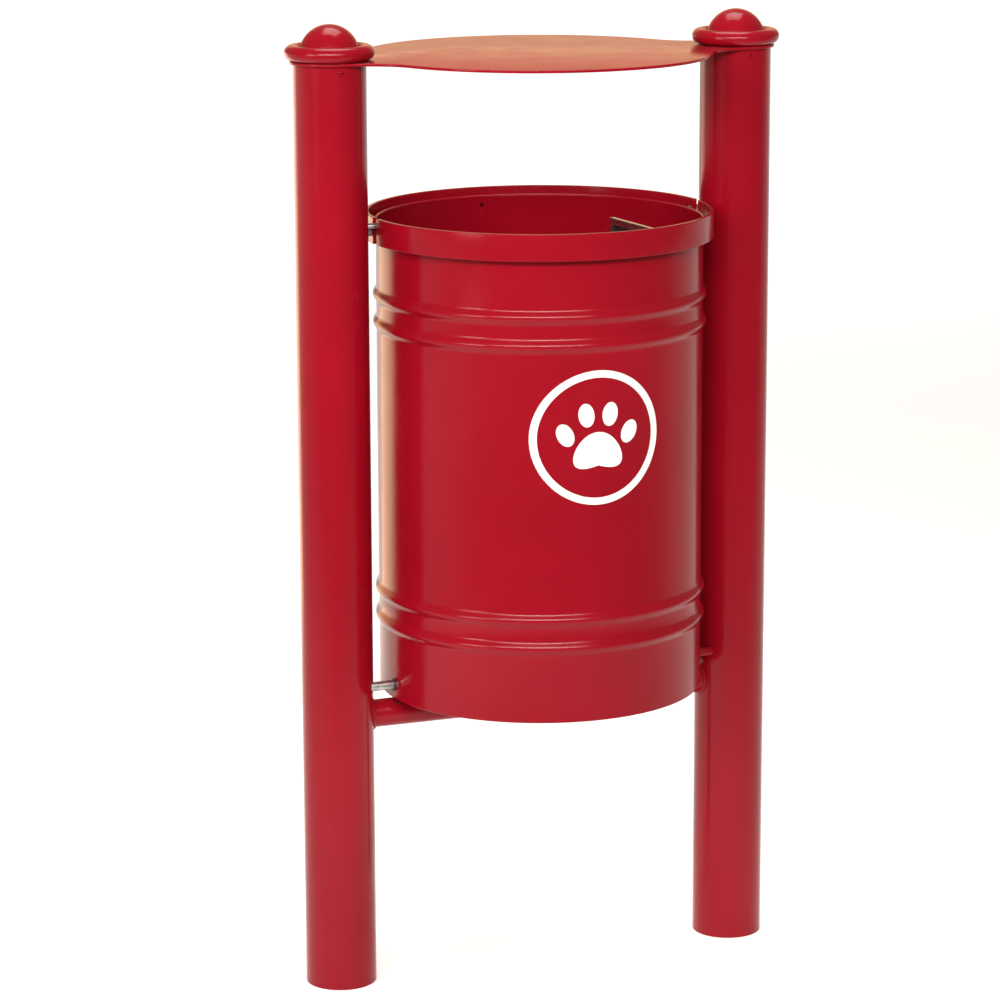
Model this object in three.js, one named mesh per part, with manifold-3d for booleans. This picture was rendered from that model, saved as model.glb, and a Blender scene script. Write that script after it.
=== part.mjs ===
// A tilting litter and dog waste bin: a steel drum hung between two round posts, under a flat roof plate.
// Millimetres, +Z up. The origin is on the ground, midway between the posts. X runs along the line of
// the posts and the bin's front faces -Y.

import * as THREE from 'three';
import { mergeVertices } from 'three/addons/utils/BufferGeometryUtils.js';
import Module from 'manifold-3d';

const wasm = await Module();
wasm.setup();

// ---------------------------------------------------------------- driving dimensions

const GAP = 0.3;               // air between pieces that touch
const ROUND_FACETS = 48;       // facets round the drum, the hoops and the decal
const TUBE_FACETS = 32;        // facets round the posts and caps
const SMALL_FACETS = 12;       // facets round pins, bolts and bushes

const POST = { radius: 38, wall: 2, height: 992.7, spacing: 458 };
const POST_X = POST.spacing / 2;

// The drum and its collar hang this much nearer the right post.
const HANG_X = 3;

const ROOF = { radius: 185, thickness: 3, earRadius: 41.5, fillet: 60 };
const ROOF_BASE = POST.height + GAP;
const ROOF_TOP = ROOF_BASE + ROOF.thickness;

const CAP = { spigotRadius: 35.6, spigotBore: 33, spigotDepth: 38, baseRadius: 39.5 };
const CAP_RING = { major: 38.7, minor: 8, height: 8.3 };
const CAP_DOME = { radius: 31.5, wall: 4, height: 5.7 };
const CAP_SCREW = { radius: 2.2, below: 7, sunk: 0.3, length: 6.5 };

const DRUM = { radius: 174, wall: 1.5, bottom: 313.5, top: 822 };
const DRUM_MIDDLE = (DRUM.bottom + DRUM.top) / 2;
const DRUM_INNER = DRUM.radius - DRUM.wall;
const BEAD = { depth: 3.8, halfWidth: 9, pairOffset: 159.5, halfSpacing: 14.9 };
const RIM = { radius: 176, height: 4 };
const FLOOR = { z: 346, thickness: 1.5, flange: 12, drainRadius: 5, drainCircle: 90, drains: 6 };

const HOOP = { radius: 185, thickness: 4, bottom: 802, top: 830, halfGap: 6 };
const HOOP_INNER = HOOP.radius - HOOP.thickness;
const HOOP_MIDDLE = (HOOP.bottom + HOOP.top) / 2;
const HOOP_BLOCK = { width: 22, bottom: 804, top: 816, angles: [-145, -90, -35] };
const HOOP_BOLT = { y: 14, face: 180.2, radius: 4, headRadius: 6, headDepth: 2, spacerRadius: 7, length: 20 };
const BUFFER = { bottom: 804, top: 815, halfAngle: 5, angles: [60, 120] };

const CROSSBAR = { radius: 15, wall: 2, z: 295 };

const PIVOT = { y: -18, z: 330, radius: 5, outer: 205, inner: 152 };
const PIVOT_PLATE = { thickness: 3, width: 52, bottom: 317, top: 343 };
const PIVOT_WASHER = { outer: 6.5, thickness: 2 };
const PIVOT_NUT = { acrossFlats: 17, height: 8 };

const KEEPER = { y: 0, z: 822, radius: 3, outer: 203, inner: 176.6 };
const LOCK = { y: -8, z: 811, bodyRadius: 6.5, flangeRadius: 9, plugRadius: 4.5, socketRadius: 3, inner: 150 };
const CAM = { outer: 179.6, inner: 176.8, hubRadius: 6, reach: 20.5, clearance: 0.7 };
const CAM_ANGLES = { turn: 50, ahead: 12, behind: 28 };

const BAG_PLATE = { thickness: 2, length: 114, height: 58, top: 820, x: 79, y: -152, turn: 5.5 };
const BAG_FLANGE = { middleAngle: -55.5, halfAngle: 7.5 };
const BAG_EDGING = { width: 5, lip: 5, shoulder: 14 };
const BAG_RIVET = { radius: 2.4, headRadius: 5, headHeight: 1.6, z: 810, angles: [-58.5, -52] };

const DECAL = { x: -4, z: 616, outerRadius: 70.5, innerRadius: 63, thickness: 0.4 };
const PEEPHOLE = { radius: 2.5, z: 811 };

// ---------------------------------------------------------------- materials

function finish(color, roughness, metalness) {
  return new THREE.MeshStandardMaterial({ color, roughness, metalness });
}

const redPaint = finish(0xa81e2c, 0.35, 0.0);
const galvanised = finish(0x9aa5a6, 0.4, 0.9);
const blackSheet = finish(0x15181a, 0.5, 0.3);
const whiteVinyl = finish(0xf2f2f0, 0.45, 0.0);
const rubber = finish(0x1c1c1c, 0.85, 0.0);
const nylon = finish(0x2a2a2c, 0.6, 0.0);

// ---------------------------------------------------------------- shaping tools

// Turns a closed geometry into a solid whose faces point outwards.
function solid(geometry) {
  geometry.deleteAttribute('normal');
  geometry.deleteAttribute('uv');
  const merged = mergeVertices(geometry);
  const position = merged.attributes.position;
  const corners = [];
  for (let i = 0; i < merged.index.count; i += 3) {
    const a = merged.index.getX(i);
    const b = merged.index.getX(i + 1);
    const c = merged.index.getX(i + 2);
    if (a !== b && b !== c && c !== a) corners.push([a, b, c]);
  }
  const point = (i) => new THREE.Vector3().fromBufferAttribute(position, i);
  let volume = 0;
  for (const [a, b, c] of corners) volume += point(a).dot(point(b).cross(point(c)));
  const triVerts = new Uint32Array(corners.flatMap(([a, b, c]) => (volume > 0 ? [a, b, c] : [a, c, b])));
  const vertProperties = new Float32Array(position.array);
  return new wasm.Manifold(new wasm.Mesh({ numProp: 3, vertProperties, triVerts }));
}

// A solid of revolution about Z from [radius, height] pairs; a ring's profile is closed by its first point.
function revolve(profile, facets) {
  const points = profile.map(([radius, height]) => new THREE.Vector2(radius, height));
  return solid(new THREE.LatheGeometry(points, facets).rotateX(Math.PI / 2));
}

function ring(inner, outer, bottom, top, facets) {
  const profile = [[inner, bottom], [outer, bottom], [outer, top], [inner, top], [inner, bottom]];
  return revolve(profile, facets);
}

function box(minimum, maximum) {
  const low = new THREE.Vector3(...minimum);
  const high = new THREE.Vector3(...maximum);
  const size = high.clone().sub(low);
  const middle = high.clone().add(low).multiplyScalar(0.5);
  return solid(new THREE.BoxGeometry(size.x, size.y, size.z).translate(middle.x, middle.y, middle.z));
}

// A round bar along X between two x positions.
function rodAlongX(radius, x0, x1, y, z, facets = SMALL_FACETS) {
  const bar = new THREE.CylinderGeometry(radius, radius, Math.abs(x1 - x0), facets);
  return solid(bar.rotateZ(Math.PI / 2).translate((x0 + x1) / 2, y, z));
}

function rodAlongY(radius, x, y0, y1, z, facets = SMALL_FACETS) {
  const bar = new THREE.CylinderGeometry(radius, radius, Math.abs(y1 - y0), facets);
  return solid(bar.translate(x, (y0 + y1) / 2, z));
}

function rodAlongZ(radius, x, y, z0, z1, facets = SMALL_FACETS) {
  const bar = new THREE.CylinderGeometry(radius, radius, Math.abs(z1 - z0), facets);
  return solid(bar.rotateX(Math.PI / 2).translate(x, y, (z0 + z1) / 2));
}

function postCylinder(side, radius) {
  return rodAlongZ(radius, side * POST_X, 0, -1, POST.height + 1, TUBE_FACETS);
}

// An angular slice of everything round the Z axis, wide enough to cut any ring of this bin.
function slice(middleDegrees, halfDegrees, bottom, top) {
  const reach = 2 * HOOP.radius;
  const middle = THREE.MathUtils.degToRad(middleDegrees);
  const half = THREE.MathUtils.degToRad(halfDegrees);
  const shape = new THREE.Shape();
  shape.moveTo(0, 0);
  shape.lineTo(reach * Math.cos(middle - half), reach * Math.sin(middle - half));
  shape.lineTo(reach * Math.cos(middle + half), reach * Math.sin(middle + half));
  const wedge = new THREE.ExtrudeGeometry(shape, { depth: top - bottom, bevelEnabled: false });
  return solid(wedge.translate(0, 0, bottom));
}

function arc(centreR, centreZ, radius, startDegrees, endDegrees, steps) {
  const points = [];
  for (let i = 0; i <= steps; i += 1) {
    const angle = THREE.MathUtils.degToRad(startDegrees + ((endDegrees - startDegrees) * i) / steps);
    points.push([centreR + radius * Math.cos(angle), centreZ + radius * Math.sin(angle)]);
  }
  return points;
}

const bin = new THREE.Group();

function addPiece(name, body, material) {
  const { vertProperties, triVerts } = body.getMesh();
  const geometry = new THREE.BufferGeometry();
  geometry.setAttribute('position', new THREE.BufferAttribute(new Float32Array(vertProperties), 3));
  geometry.setIndex(new THREE.BufferAttribute(new Uint32Array(triVerts), 1));
  const mesh = new THREE.Mesh(geometry, material);
  mesh.name = name;
  bin.add(mesh);
}

function hangPiece(name, body, material) {
  addPiece(name, body.translate([HANG_X, 0, 0]), material);
}

const SIDES = [['left', -1], ['right', 1]];

// ---------------------------------------------------------------- frame

// Each post is a round tube with a plain cut foot, drilled for everything that is fixed to it.
function makePost(name, side) {
  const inner = POST.radius - POST.wall;
  const reach = side * (POST_X - POST.radius - 5);
  const centre = side * POST_X;
  let tube = ring(inner, POST.radius, 0, POST.height, TUBE_FACETS).translate([centre, 0, 0]);
  tube = tube.subtract(rodAlongX(PIVOT.radius + GAP, reach, centre, PIVOT.y, PIVOT.z));
  tube = tube.subtract(rodAlongX(HOOP_BOLT.radius + GAP, reach, centre, HOOP_BOLT.y, HOOP_MIDDLE));
  const screwZ = POST.height - CAP_SCREW.below;
  tube = tube.subtract(rodAlongY(CAP_SCREW.radius + GAP, centre, -POST.radius - 1, -inner + 3, screwZ));
  if (side < 0) tube = tube.subtract(rodAlongX(KEEPER.radius + GAP, reach, centre, KEEPER.y, KEEPER.z));
  addPiece(`${name}_post`, tube, redPaint);
}

// A hollow cast cap: a spigot in the tube, a rounded collar and a dome.
function makeCap(name, side) {
  const base = ROOF_TOP + GAP;
  const domeZ = base + CAP_DOME.height;
  const hollow = CAP_DOME.radius - CAP_DOME.wall;
  const foot = base - CAP.spigotDepth;
  const profile = [
    ...arc(0, domeZ, hollow, 90, 10, 3),
    [CAP.spigotBore, base],
    [CAP.spigotBore, foot],
    [CAP.spigotRadius, foot],
    [CAP.spigotRadius, base],
    [CAP.baseRadius, base],
    ...arc(CAP_RING.major, base + CAP_RING.height, CAP_RING.minor, -75, 155, 7),
    ...arc(0, domeZ, CAP_DOME.radius, 12, 90, 5),
  ];
  profile[0][0] = 0;
  profile[profile.length - 1][0] = 0;
  const screwZ = POST.height - CAP_SCREW.below;
  const hole = rodAlongY(CAP_SCREW.radius + GAP, 0, -CAP.spigotRadius - 1, -CAP.spigotBore + 2, screwZ);
  const cap = revolve(profile, TUBE_FACETS).subtract(hole).translate([side * POST_X, 0, 0]);
  addPiece(`${name}_cap`, cap, redPaint);

  const screwFront = CAP_SCREW.sunk - POST.radius;
  const screw = rodAlongY(CAP_SCREW.radius, side * POST_X, screwFront, screwFront + CAP_SCREW.length, screwZ);
  addPiece(`${name}_cap_screw`, screw, redPaint);
}

// The roof is one flat plate: a disc with a round ear over each post, clamped under the caps.
function makeRoof() {
  const { radius, earRadius, fillet, thickness } = ROOF;
  const filletY = earRadius + fillet;
  const filletX = Math.sqrt((radius + fillet) ** 2 - filletY ** 2);
  const blend = Math.atan2(filletY, filletX);
  const shape = new THREE.Shape();
  shape.absarc(POST_X, 0, earRadius, -Math.PI / 2, Math.PI / 2, false);
  shape.absarc(filletX, filletY, fillet, -Math.PI / 2, blend - Math.PI, true);
  shape.absarc(0, 0, radius, blend, Math.PI - blend, false);
  shape.absarc(-filletX, filletY, fillet, -blend, -Math.PI / 2, true);
  shape.absarc(-POST_X, 0, earRadius, Math.PI / 2, (3 * Math.PI) / 2, false);
  shape.absarc(-filletX, -filletY, fillet, Math.PI / 2, blend, true);
  shape.absarc(0, 0, radius, Math.PI + blend, 2 * Math.PI - blend, false);
  shape.absarc(filletX, -filletY, fillet, Math.PI - blend, Math.PI / 2, true);
  const settings = { depth: thickness, bevelEnabled: false, curveSegments: 14 };
  let plate = solid(new THREE.ExtrudeGeometry(shape, settings).translate(0, 0, ROOF_BASE));
  for (const [, side] of SIDES) {
    const hole = rodAlongZ(CAP.spigotRadius + GAP, side * POST_X, 0, ROOF_BASE - 1, ROOF_TOP + 1, TUBE_FACETS);
    plate = plate.subtract(hole);
  }
  addPiece('roof_plate', plate, redPaint);
}

// A tube welded between the posts under the drum; the tilted drum lands on it.
function makeCrossbar() {
  const reach = POST_X - POST.radius + 6;
  let bar = rodAlongX(CROSSBAR.radius, -reach, reach, 0, CROSSBAR.z, 28);
  bar = bar.subtract(rodAlongX(CROSSBAR.radius - CROSSBAR.wall, -reach - 1, reach + 1, 0, CROSSBAR.z, 28));
  for (const [, side] of SIDES) bar = bar.subtract(postCylinder(side, POST.radius + GAP));
  addPiece('crossbar', bar, redPaint);
}

// A countersunk bolt, or with growth the hole that it sits in, which is open above the head.
function hoopBolt(side, growth) {
  const { y, face, radius, headRadius, headDepth, length } = HOOP_BOLT;
  const wayIn = [[0, -headDepth], [headRadius + growth, -headDepth]];
  const profile = [
    ...(growth > 0 ? wayIn : [[0, 0]]),
    [headRadius + growth, 0],
    [radius + growth, headDepth],
    [radius + growth, length],
    [0, length],
  ];
  return revolve(profile, 2 * SMALL_FACETS).rotate([0, side * 90, 0]).translate([side * face, y, HOOP_MIDDLE]);
}

// The rear half of the collar is bolted to the posts on spacers, with two rubber stops for the drum.
function makeRearHoop() {
  let hoop = ring(HOOP_INNER, HOOP.radius, HOOP.bottom, HOOP.top, ROUND_FACETS);
  hoop = hoop.intersect(box([-200, HOOP.halfGap, HOOP.bottom - 1], [200, 200, HOOP.top + 1]));
  for (const [, side] of SIDES) hoop = hoop.subtract(hoopBolt(side, GAP));
  hangPiece('rear_hoop', hoop, redPaint);

  for (const [name, side] of SIDES) {
    const { y, radius, spacerRadius } = HOOP_BOLT;
    hangPiece(`${name}_hoop_bolt`, hoopBolt(side, 0), galvanised);

    const start = side * (HOOP.radius + GAP);
    let spacer = rodAlongX(spacerRadius, start, side * POST_X, y, HOOP_MIDDLE);
    spacer = spacer.subtract(rodAlongX(radius + GAP, 0, side * POST_X, y, HOOP_MIDDLE));
    spacer = spacer.subtract(postCylinder(side, POST.radius + GAP).translate([-HANG_X, 0, 0]));
    hangPiece(`${name}_hoop_spacer`, spacer, galvanised);
  }

  BUFFER.angles.forEach((angle, index) => {
    const strip = ring(DRUM.radius + 2 * GAP, HOOP_INNER - GAP, BUFFER.bottom, BUFFER.top, ROUND_FACETS);
    const pad = strip.intersect(slice(angle, BUFFER.halfAngle, BUFFER.bottom - 1, BUFFER.top + 1));
    hangPiece(`rubber_stop_${index + 1}`, pad, rubber);
  });
}

// The keeper is a plain pin in the left post, in the gap between the two half hoops.
function makeKeeper() {
  const { radius, outer, inner, y, z } = KEEPER;
  hangPiece('lock_keeper_pin', rodAlongX(radius, -outer, -inner, y, z), galvanised);
}

// ---------------------------------------------------------------- drum

function beadHeights() {
  const heights = [];
  for (const pair of [-1, 1]) {
    for (const bead of [-1, 1]) heights.push(DRUM_MIDDLE + pair * BEAD.pairOffset + bead * BEAD.halfSpacing);
  }
  return heights;
}

// Wall profile from bottom to top at a given radius, with each rolled bead as a half-cosine swell.
function wallProfile(radius, steps) {
  const points = [];
  for (const middle of beadHeights()) {
    for (let i = 0; i <= steps; i += 1) {
      const t = (2 * i) / steps - 1;
      points.push([radius + (BEAD.depth * (1 + Math.cos(Math.PI * t))) / 2, middle + t * BEAD.halfWidth]);
    }
  }
  return points;
}

function makeShell() {
  const { radius, bottom, top } = DRUM;
  const rimMiddle = top - RIM.height / 2;
  const profile = [
    [DRUM_INNER, bottom],
    [radius, bottom],
    ...wallProfile(radius, 4),
    [radius, top - RIM.height],
    [RIM.radius, rimMiddle - 1],
    [RIM.radius, rimMiddle + 1],
    [radius, top],
    [DRUM_INNER, top - 1],
    ...wallProfile(DRUM_INNER, 2).reverse(),
    [DRUM_INNER, bottom],
  ];
  let shell = revolve(profile, ROUND_FACETS);
  shell = shell.subtract(rodAlongX(PIVOT.radius + GAP, -200, 200, PIVOT.y, PIVOT.z));
  shell = shell.subtract(rodAlongX(LOCK.bodyRadius + GAP, -200, -160, LOCK.y, LOCK.z, 20));
  shell = shell.subtract(rodAlongY(PEEPHOLE.radius, 0, 160, 190, PEEPHOLE.z, 12));
  for (const hole of bagRivetHoles()) shell = shell.subtract(hole);
  hangPiece('drum_shell', shell, redPaint);
}

// The floor is a shallow pressed dish inside the shell, with drain holes.
function makeFloor() {
  const edge = DRUM_INNER - GAP;
  const top = FLOOR.z + FLOOR.thickness;
  const profile = [
    [0, FLOOR.z],
    [edge - FLOOR.thickness, FLOOR.z],
    [edge - FLOOR.thickness, top - FLOOR.flange],
    [edge, top - FLOOR.flange],
    [edge, top],
    [0, top],
  ];
  let floor = revolve(profile, ROUND_FACETS);
  for (let i = 0; i < FLOOR.drains; i += 1) {
    const angle = (i / FLOOR.drains) * 2 * Math.PI;
    const x = FLOOR.drainCircle * Math.cos(angle);
    const y = FLOOR.drainCircle * Math.sin(angle);
    floor = floor.subtract(rodAlongZ(FLOOR.drainRadius, x, y, FLOOR.z - 1, top + 1));
  }
  for (const [, side] of SIDES) {
    const relief = box([side < 0 ? -180 : 140, -50, FLOOR.z - 20], [side < 0 ? -140 : 180, 15, FLOOR.z - GAP]);
    floor = floor.subtract(relief);
  }
  hangPiece('drum_floor', floor, redPaint);
}

// The front half of the collar stands off the drum on three welded blocks and tilts with it.
function makeFrontHoop() {
  const hoop = ring(HOOP_INNER, HOOP.radius, HOOP.bottom, HOOP.top, ROUND_FACETS);
  const front = box([-200, -200, HOOP.bottom - 1], [200, -HOOP.halfGap, HOOP.top + 1]);
  hangPiece('front_hoop', hoop.intersect(front), redPaint);
  HOOP_BLOCK.angles.forEach((angle, index) => {
    const strip = ring(DRUM.radius + GAP, HOOP_INNER - GAP, HOOP_BLOCK.bottom, HOOP_BLOCK.top, ROUND_FACETS);
    const halfAngle = THREE.MathUtils.radToDeg(HOOP_BLOCK.width / 2 / DRUM.radius);
    hangPiece(`hoop_block_${index + 1}`, strip.intersect(slice(angle, halfAngle, HOOP.bottom, HOOP.top)), redPaint);
  });
}

// Each pivot is a pin in the post that carries the skirt of the drum through a doubler plate. The right one
// is welded in and painted over; the left one is bare and goes in last.
function makePivot(name, side) {
  const { y, z, radius, outer, inner } = PIVOT;
  const pinFinish = side < 0 ? galvanised : redPaint;
  hangPiece(`${name}_pivot_pin`, rodAlongX(radius, side * outer, side * inner, y, z, 20), pinFinish);

  const plateOuter = DRUM_INNER - GAP;
  const plateInner = plateOuter - PIVOT_PLATE.thickness;
  const half = PIVOT_PLATE.width / 2;
  const { bottom, top } = PIVOT_PLATE;
  const strip = ring(plateInner, plateOuter, bottom, top, ROUND_FACETS);
  const low = side < 0 ? -200 : 100;
  let plate = strip.intersect(box([low, y - half, bottom - 1], [low + 100, y + half, top + 1]));
  plate = plate.subtract(rodAlongX(radius + GAP, low, low + 100, y, z));
  hangPiece(`${name}_pivot_plate`, plate, redPaint);

  const bore = rodAlongX(radius + GAP, side * 140, side * outer, y, z);
  const washerStart = DRUM.radius + GAP;
  const washerEnd = washerStart + PIVOT_WASHER.thickness;
  const washer = rodAlongX(PIVOT_WASHER.outer, side * washerStart, side * washerEnd, y, z);
  hangPiece(`${name}_pivot_washer`, washer.subtract(bore), nylon);

  const nutRadius = PIVOT_NUT.acrossFlats / Math.sqrt(3);
  const nutStart = Math.sqrt(plateInner ** 2 - (Math.abs(y) + nutRadius) ** 2) - 2 * GAP;
  const nut = rodAlongX(nutRadius, side * nutStart, side * (nutStart - PIVOT_NUT.height), y, z, 6);
  hangPiece(`${name}_pivot_nut`, nut.subtract(bore), galvanised);
}

// Places a piece that is drawn standing inwards from the front wall along +Y.
function inFromWall(piece) {
  return piece.rotate([0, 0, BAG_PLATE.turn]).translate([BAG_PLATE.x, BAG_PLATE.y, 0]);
}

function bagRivetHoles() {
  const hole = () => rodAlongX(BAG_RIVET.radius + GAP, 160, 180, 0, BAG_RIVET.z);
  return BAG_RIVET.angles.map((angle) => hole().rotate([0, 0, angle]));
}

// A folded black plate stands inwards from the front wall; the rubbish bag's mouth hooks over it.
function makeBagPlate() {
  const { thickness, length, height, top } = BAG_PLATE;
  const bottom = top - height;
  const flangeFace = DRUM_INNER - 2 * GAP;
  const inside = rodAlongZ(flangeFace, 0, 0, bottom - 5, top + 5, ROUND_FACETS);
  const web = inFromWall(box([-thickness / 2, -20, bottom], [thickness / 2, length, top])).intersect(inside);
  const strip = ring(flangeFace - thickness, flangeFace, bottom, top, ROUND_FACETS);
  const flange = strip.intersect(slice(BAG_FLANGE.middleAngle, BAG_FLANGE.halfAngle, bottom - 1, top + 1));
  let plate = web.add(flange);
  for (const hole of bagRivetHoles()) plate = plate.subtract(hole);
  hangPiece('bag_hook_plate', plate, blackSheet);

  const { width, lip, shoulder } = BAG_EDGING;
  const slot = thickness / 2 + GAP;
  const along = box([-width / 2, shoulder, top - lip], [width / 2, length + 2, top + 2]);
  const down = box([-width / 2, length - lip, bottom], [width / 2, length + 2, top + 2]);
  const groove = box([-slot, shoulder - 1, bottom - 1], [slot, length + GAP, top + GAP]);
  hangPiece('bag_hook_edging', inFromWall(along.add(down).subtract(groove)), galvanised);

  const headStart = flangeFace - thickness - 2 * GAP;
  BAG_RIVET.angles.forEach((angle, index) => {
    const { radius, headRadius, headHeight, z } = BAG_RIVET;
    const shank = rodAlongX(radius, headStart, DRUM.radius + 1, 0, z);
    const head = rodAlongX(headRadius, headStart - headHeight, headStart, 0, z);
    hangPiece(`bag_hook_rivet_${index + 1}`, shank.add(head).rotate([0, 0, angle]), galvanised);
  });
}

// ---------------------------------------------------------------- lock

function makeLockHousing() {
  const wallOutside = -DRUM.radius - 1.6;
  const flangeStart = -(DRUM_INNER - 3);
  let housing = rodAlongX(LOCK.bodyRadius, wallOutside, -LOCK.inner - 4, LOCK.y, LOCK.z, 24);
  housing = housing.add(rodAlongX(LOCK.flangeRadius, flangeStart, flangeStart + 3, LOCK.y, LOCK.z, 24));
  housing = housing.subtract(rodAlongX(LOCK.plugRadius + GAP, -190, -140, LOCK.y, LOCK.z, 20));
  hangPiece('lock_housing', housing, galvanised);
}

// The plug turns in the housing and has a three-sided key socket facing the inside of the drum.
function makeLockPlug() {
  const plug = rodAlongX(LOCK.plugRadius, -CAM.inner + GAP, -LOCK.inner, LOCK.y, LOCK.z, 20);
  const socket = rodAlongX(LOCK.socketRadius, -LOCK.inner - 8, -LOCK.inner + 1, LOCK.y, LOCK.z, 3);
  hangPiece('lock_plug', plug.subtract(socket), galvanised);
}

// The cam lies level when open, hidden by the collar. Turned up, its curved slot closes over the keeper pin.
function makeLockCam() {
  const { outer, inner, hubRadius, reach, clearance } = CAM;
  const keeperReach = Math.hypot(KEEPER.y - LOCK.y, KEEPER.z - LOCK.z);
  const keeperAngle = Math.atan2(KEEPER.z - LOCK.z, KEEPER.y - LOCK.y);
  const slotEnd = keeperAngle - THREE.MathUtils.degToRad(CAM_ANGLES.turn);
  const start = slotEnd - THREE.MathUtils.degToRad(CAM_ANGLES.behind);
  const end = slotEnd + THREE.MathUtils.degToRad(CAM_ANGLES.ahead);
  const slotHalf = KEEPER.radius + clearance;
  const arm = new THREE.Shape();
  arm.moveTo(0, 0);
  arm.lineTo(reach * Math.cos(start), reach * Math.sin(start));
  arm.absarc(0, 0, reach, start, end, false);
  const slot = new THREE.Shape();
  slot.absarc(0, 0, keeperReach + slotHalf, slotEnd, end + 0.3, false);
  slot.absarc(0, 0, keeperReach - slotHalf, end + 0.3, slotEnd, true);
  const settings = { depth: outer - inner, bevelEnabled: false, curveSegments: 8 };
  const deepSettings = { depth: 20, bevelEnabled: false, curveSegments: 8 };
  const slotX = keeperReach * Math.cos(slotEnd);
  const slotY = keeperReach * Math.sin(slotEnd);
  let cam = solid(new THREE.ExtrudeGeometry(arm, settings));
  cam = cam.add(rodAlongZ(hubRadius, 0, 0, 0, outer - inner, 20));
  cam = cam.subtract(solid(new THREE.ExtrudeGeometry(slot, deepSettings).translate(0, 0, -5)));
  cam = cam.subtract(rodAlongZ(slotHalf, slotX, slotY, -5, 15));
  // The drawing plane's X becomes +Y, and its Y becomes +Z, with the thickness along +X.
  cam = cam.rotate([90, 0, 90]).translate([-outer, LOCK.y, LOCK.z]);
  hangPiece('lock_cam', cam, galvanised);
}

// ---------------------------------------------------------------- decal

function ellipse(x, y, across, up, turn) {
  const shape = new THREE.Shape();
  shape.absellipse(x, y, across, up, 0, 2 * Math.PI, false, turn);
  return shape;
}

// Cut vinyl wrapped on the drum's front: a ring with a plain paw print of one pad and four toes.
function makeDecal() {
  const { x: middle, z, outerRadius, innerRadius, thickness } = DECAL;
  const skin = ring(DRUM.radius + GAP, DRUM.radius + GAP + thickness, z - 80, z + 80, 2 * ROUND_FACETS);
  const stick = (name, shape) => {
    const settings = { depth: 60, bevelEnabled: false, curveSegments: 16 };
    const cutter = new THREE.ExtrudeGeometry(shape, settings).rotateX(Math.PI / 2).translate(middle, -130, z);
    hangPiece(name, skin.intersect(solid(cutter)), whiteVinyl);
  };
  const circle = ellipse(0, 0, outerRadius, outerRadius, 0);
  circle.holes.push(new THREE.Path().absellipse(0, 0, innerRadius, innerRadius, 0, 2 * Math.PI, true, 0));
  stick('decal_ring', circle);

  const pad = new THREE.Shape();
  pad.moveTo(0, 6);
  pad.bezierCurveTo(16, 6, 27, -12, 27, -22);
  pad.bezierCurveTo(27, -36, 10, -32, 0, -29);
  pad.bezierCurveTo(-10, -32, -27, -36, -27, -22);
  pad.bezierCurveTo(-27, -12, -16, 6, 0, 6);
  stick('decal_paw_pad', pad);

  const toes = [[-35, 4, 0.45], [-13, 24, 0.15], [13, 24, -0.15], [35, 4, -0.45]];
  toes.forEach(([x, y, turn], index) => stick(`decal_toe_${index + 1}`, ellipse(x, y, 8.5, 12.5, turn)));
}

// ---------------------------------------------------------------- assembly

for (const [name, side] of SIDES) {
  makePost(name, side);
  makeCap(name, side);
}
makeRoof();
makeCrossbar();
makeRearHoop();
makeKeeper();
makeShell();
makeFloor();
makeFrontHoop();
for (const [name, side] of SIDES) makePivot(name, side);
makeBagPlate();
makeLockHousing();
makeLockPlug();
makeLockCam();
makeDecal();

export default bin;
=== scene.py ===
import math

import bmesh
import bpy
from mathutils import Matrix, Vector


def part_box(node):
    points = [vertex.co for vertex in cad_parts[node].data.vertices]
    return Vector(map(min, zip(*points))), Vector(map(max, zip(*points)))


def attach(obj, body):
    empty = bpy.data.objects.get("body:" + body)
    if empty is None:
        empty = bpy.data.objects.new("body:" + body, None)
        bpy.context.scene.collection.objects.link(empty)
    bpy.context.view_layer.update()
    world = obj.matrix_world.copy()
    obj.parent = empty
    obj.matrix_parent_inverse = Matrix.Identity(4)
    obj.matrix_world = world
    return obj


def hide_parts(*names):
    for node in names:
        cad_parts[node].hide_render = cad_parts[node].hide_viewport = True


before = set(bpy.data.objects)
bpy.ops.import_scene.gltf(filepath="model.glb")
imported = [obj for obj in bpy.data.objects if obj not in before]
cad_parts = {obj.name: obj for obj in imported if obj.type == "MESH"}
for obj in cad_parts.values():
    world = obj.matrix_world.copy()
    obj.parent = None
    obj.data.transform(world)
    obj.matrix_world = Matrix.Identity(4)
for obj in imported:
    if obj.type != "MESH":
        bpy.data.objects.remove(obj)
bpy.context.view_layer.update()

# ------------------------------------------------------------------ posts
# Two lengths of round steel tube with plain cut feet. They are drilled for the pins and bolts that
# carry the drum and the rear hoop, then powder coated red all over.

POST_WALL = 0.002
POST_STEPS = 96
EDGE_BREAK = 0.0005
POST_BANDS = (0.32, 0.34, 0.806, 0.830, 0.980, 0.9905)
SLIP = 0.0003
BOLT_RADIUS = 0.004
POST_BOLT_HOLE = BOLT_RADIUS + 0.0004
SCREW_HOLE_START = -0.05
SCREW_HOLE_END = -0.03
SHARP_DEGREES = 32.0
PAINT_RED = (0.275, 0.0030, 0.0118, 1.0)
PAINT_DEEP_RED = (0.240, 0.0022, 0.0095, 1.0)
PAINT_DUST = (0.30, 0.20, 0.17, 1.0)
PAINT_SHINE = 0.21
PAINT_GLOSS = 0.17


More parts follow.
